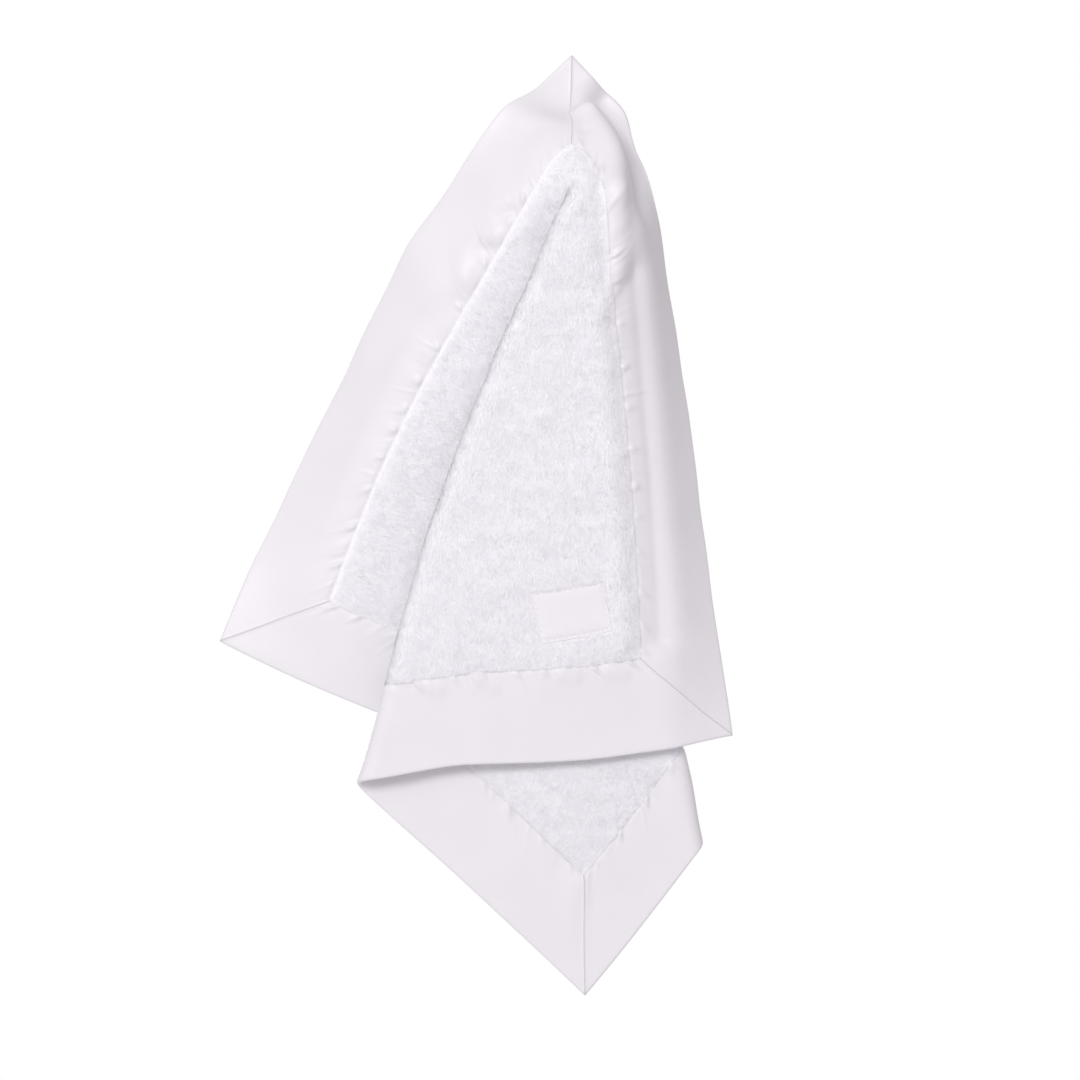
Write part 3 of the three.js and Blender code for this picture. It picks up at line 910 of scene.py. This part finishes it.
# The corners of the plush field, where the seams meet: at the held corner, to its left and right,
# and opposite. Each strip has its ends at the seam and at the blanket's edge, and its seed.
SEAM_HELD = (BORDER, BORDER)
SEAM_LEFT = (FAR, BORDER)
SEAM_RIGHT = (BORDER, FAR)
SEAM_FAR = (FAR, FAR)
STRIPS = {
    "left": ((SEAM_HELD, SEAM_LEFT), ((0, 0), (SIDE, 0)), 31),
    "right": ((SEAM_HELD, SEAM_RIGHT), ((0, 0), (0, SIDE)), 33),
    "rear": ((SEAM_LEFT, SEAM_FAR), ((SIDE, 0), (SIDE, SIDE)), 35),
    "front": ((SEAM_RIGHT, SEAM_FAR), ((0, SIDE), (SIDE, SIDE)), 37),
}
for where, (seam_ends, edge_ends, strip_seed) in STRIPS.items():
    strip = satin(f"satin_{where}", f"binding_{where}", seam_ends, edge_ends, strip_seed)
for where, facing in (("front", 1), ("back", -1)):
    plush(f"plush_cloth_{where}", f"plush_{where}", facing)
tufts("pile_front", 1, 51)
tufts("pile_back", -1, 61)


# The label, which is stitched down near its rim and sinks into the pile there.
LABEL_COLUMNS = 151
LABEL_ROWS = 101
LABEL_SINK = 0.6
LABEL_PILLOW = 0.5
LABEL_PILLOW_WIDTH = 7
LABEL_GROOVE = 0.45
LABEL_GROOVE_WIDTH = 0.9
LABEL_UNEVEN = 0.15
LABEL_UNEVEN_SIZE = 6
STITCH = 2.1
STITCH_GAP = 1.1
STITCH_RADIUS = 0.28
STITCH_INSET = 1.6
STITCH_SIDES = 6
STITCH_END_SHARE = 0.5

# How high a stitch lies over the label along its length: it dives in at both ends.
STITCH_RISE = np.array([-0.25, 0.2, 0.32, 0.2, -0.25])

# A direction that no stitch runs along.
ASIDE = [0.31, 0.9, 0.3]


def label_height(x, y):
    """How high the label's lower face lies at a place measured from its middle. A groove runs
    under the stitches."""
    rim = np.minimum(LABEL_WIDTH / 2 - np.abs(x), LABEL_HEIGHT / 2 - np.abs(y))
    pillow = LABEL_PILLOW * ease(rim / LABEL_PILLOW_WIDTH)
    groove = LABEL_GROOVE * np.exp(-(((rim - STITCH_INSET) / LABEL_GROOVE_WIDTH) ** 2))
    uneven = LABEL_UNEVEN * noise(x / LABEL_UNEVEN_SIZE, y / LABEL_UNEVEN_SIZE, seed=71)
    return PLUSH_SKIN - LABEL_SINK + (pillow - groove) + uneven


def label():
    across = np.linspace(-0.5, 0.5, LABEL_COLUMNS) * LABEL_WIDTH
    up = np.linspace(-0.5, 0.5, LABEL_ROWS) * LABEL_HEIGHT
    x, y = np.meshgrid(across, up, indexing="ij")
    s, t = on_label(x, y)
    outer = over(s, t, label_height(x, y) + LABEL_THICKNESS)
    inner = over(s, t, label_height(x, y))
    piece = slab("label_cloth", outer, inner, label_white)
    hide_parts("label")
    return piece


def tubes(name, lines, radius, material):
    """Closed tubes along lines of points, whose shape is (tube, point, 3). They taper at both ends."""
    sides = STITCH_SIDES
    along = unit(np.gradient(lines, axis=1))
    first = unit(np.cross(along, ASIDE))
    second = np.cross(along, first)
    tubes_count, rings = lines.shape[:2]
    angle = np.arange(sides) * 2 * math.pi / sides
    thin = np.ones(rings)
    thin[[0, -1]] = STITCH_END_SHARE
    ring = first[:, :, None] * np.cos(angle)[:, None] + second[:, :, None] * np.sin(angle)[:, None]
    points = (lines[:, :, None] + ring * (radius * thin)[:, None, None]).reshape(-1, 3)
    index = np.arange(tubes_count * rings * sides).reshape(tubes_count, rings, sides)
    ahead = np.roll(index, -1, 2)
    wall = np.stack([index[:, :-1], ahead[:, :-1], ahead[:, 1:], index[:, 1:]], -1).reshape(-1, 4)
    caps = [index[:, end][:, order] for end, order in (
        (0, [3, 2, 1, 0]), (0, [5, 4, 3, 0]), (-1, [0, 1, 2, 3]), (-1, [0, 3, 4, 5]))]
    corners = np.concatenate([wall, *caps])
    if signed_volume(points, corners) < 0:
        corners = corners[:, ::-1]
    total = len(corners)
    wide = int(math.ceil(math.sqrt(total)))
    cell = np.stack([np.arange(total) % wide, np.arange(total) // wide], -1)[:, None, :]
    uv = (cell + np.array([[0.1, 0.1], [0.9, 0.1], [0.9, 0.9], [0.1, 0.9]])) / wide
    return new_object(name, points, corners, material, uv.reshape(-1, 2))


def label_stitches():
    half_x, half_y = LABEL_WIDTH / 2 - STITCH_INSET, LABEL_HEIGHT / 2 - STITCH_INSET
    lines = []
    for low, high, fixed, upright in (
            (-half_x, half_x, -half_y, False), (-half_x, half_x, half_y, False),
            (-half_y, half_y, -half_x, True), (-half_y, half_y, half_x, True)):
        count = int((high - low) // (STITCH + STITCH_GAP))
        starts = np.linspace(low, high, count, endpoint=False)
        run = starts[:, None] + np.linspace(0, 1, len(STITCH_RISE)) * STITCH
        other = np.full_like(run, fixed)
        x, y = (other, run) if upright else (run, other)
        s, t = on_label(x, y)
        height = label_height(x, y) + LABEL_THICKNESS + STITCH_RISE
        lines.append(over(s.ravel(), t.ravel(), height.ravel()).reshape(*run.shape, 3))
    piece = tubes("label_stitches", np.concatenate(lines), STITCH_RADIUS, thread_white)
    return piece


label()
label_stitches()


# Camera, light and surroundings, in metres and watts. Each lamp has its place, its diameter and
# its power.
CAMERA_PLACE = (-0.0182, -2.6, -0.2677)
CAMERA_LENS = 147.64
CAMERA_SENSOR = 36
CAMERA_REACH = 50
LAMP_COLOUR = (0.985, 0.98, 1)
LAMP_AIM = (0, 0, -0.25)
LAMPS = {
    "key": ((-0.65, -2.2, 0.8), 1.1, 31),
    "side": ((-2.2, -1.2, 0.5), 1.2, 2),
    "back": ((-0.6, 2.4, -0.1), 1, 13),
}
WORLD_COLOUR = (0.55, 0.515, 0.54)
BACKDROP_COLOUR = (1, 1, 1)
FLOOR_COLOUR = (0.9, 0.9, 0.9)
FLOOR_RADIUS = 1.25
FLOOR_HEIGHT = -0.75


def look_from():
    data = bpy.data.cameras.new("camera")
    data.lens = CAMERA_LENS
    data.sensor_width = CAMERA_SENSOR
    data.clip_end = CAMERA_REACH
    camera = bpy.data.objects.new("camera", data)
    camera.location = CAMERA_PLACE
    camera.rotation_euler = (math.pi / 2, 0, 0)
    bpy.context.scene.collection.objects.link(camera)
    bpy.context.scene.camera = camera


def lamp(name, place, size, watts):
    data = bpy.data.lights.new(name, "AREA")
    data.shape = "DISK"
    data.size = size
    data.energy = watts
    data.color = LAMP_COLOUR
    obj = bpy.data.objects.new(name, data)
    obj.location = place
    direction = Vector(LAMP_AIM) - Vector(place)
    obj.rotation_mode = "QUATERNION"
    obj.rotation_quaternion = direction.to_track_quat("-Z", "Y")
    bpy.context.scene.collection.objects.link(obj)


def surroundings():
    """A dim world that lights the piece, and shows as white behind it."""
    world = bpy.data.worlds.new("world")
    bpy.context.scene.world = world
    world.use_nodes = True
    nodes, links = world.node_tree.nodes, world.node_tree.links
    seen = nodes.new("ShaderNodeLightPath").outputs["Is Camera Ray"]
    level = blend(nodes, links, seen, WORLD_COLOUR, BACKDROP_COLOUR)
    links.new(level, nodes["Background"].inputs["Color"])


def pale_floor():
    """A round floor, too low and too small for the camera to see, that shows in the other views."""
    bpy.ops.mesh.primitive_circle_add(
        vertices=96, radius=FLOOR_RADIUS, fill_type="NGON", location=(0, 0, FLOOR_HEIGHT))
    floor = bpy.context.object
    floor.name = "floor"
    material, *_, shader = new_material("floor")
    shader.inputs["Base Color"].default_value = (*FLOOR_COLOUR, 1)
    set_values(shader, Roughness=1)
    floor.data.materials.append(material)


pale_floor()
look_from()
for lamp_name, lamp_values in LAMPS.items():
    lamp(lamp_name, *lamp_values)
surroundings()

scene = bpy.context.scene
scene.view_settings.view_transform = "Standard"
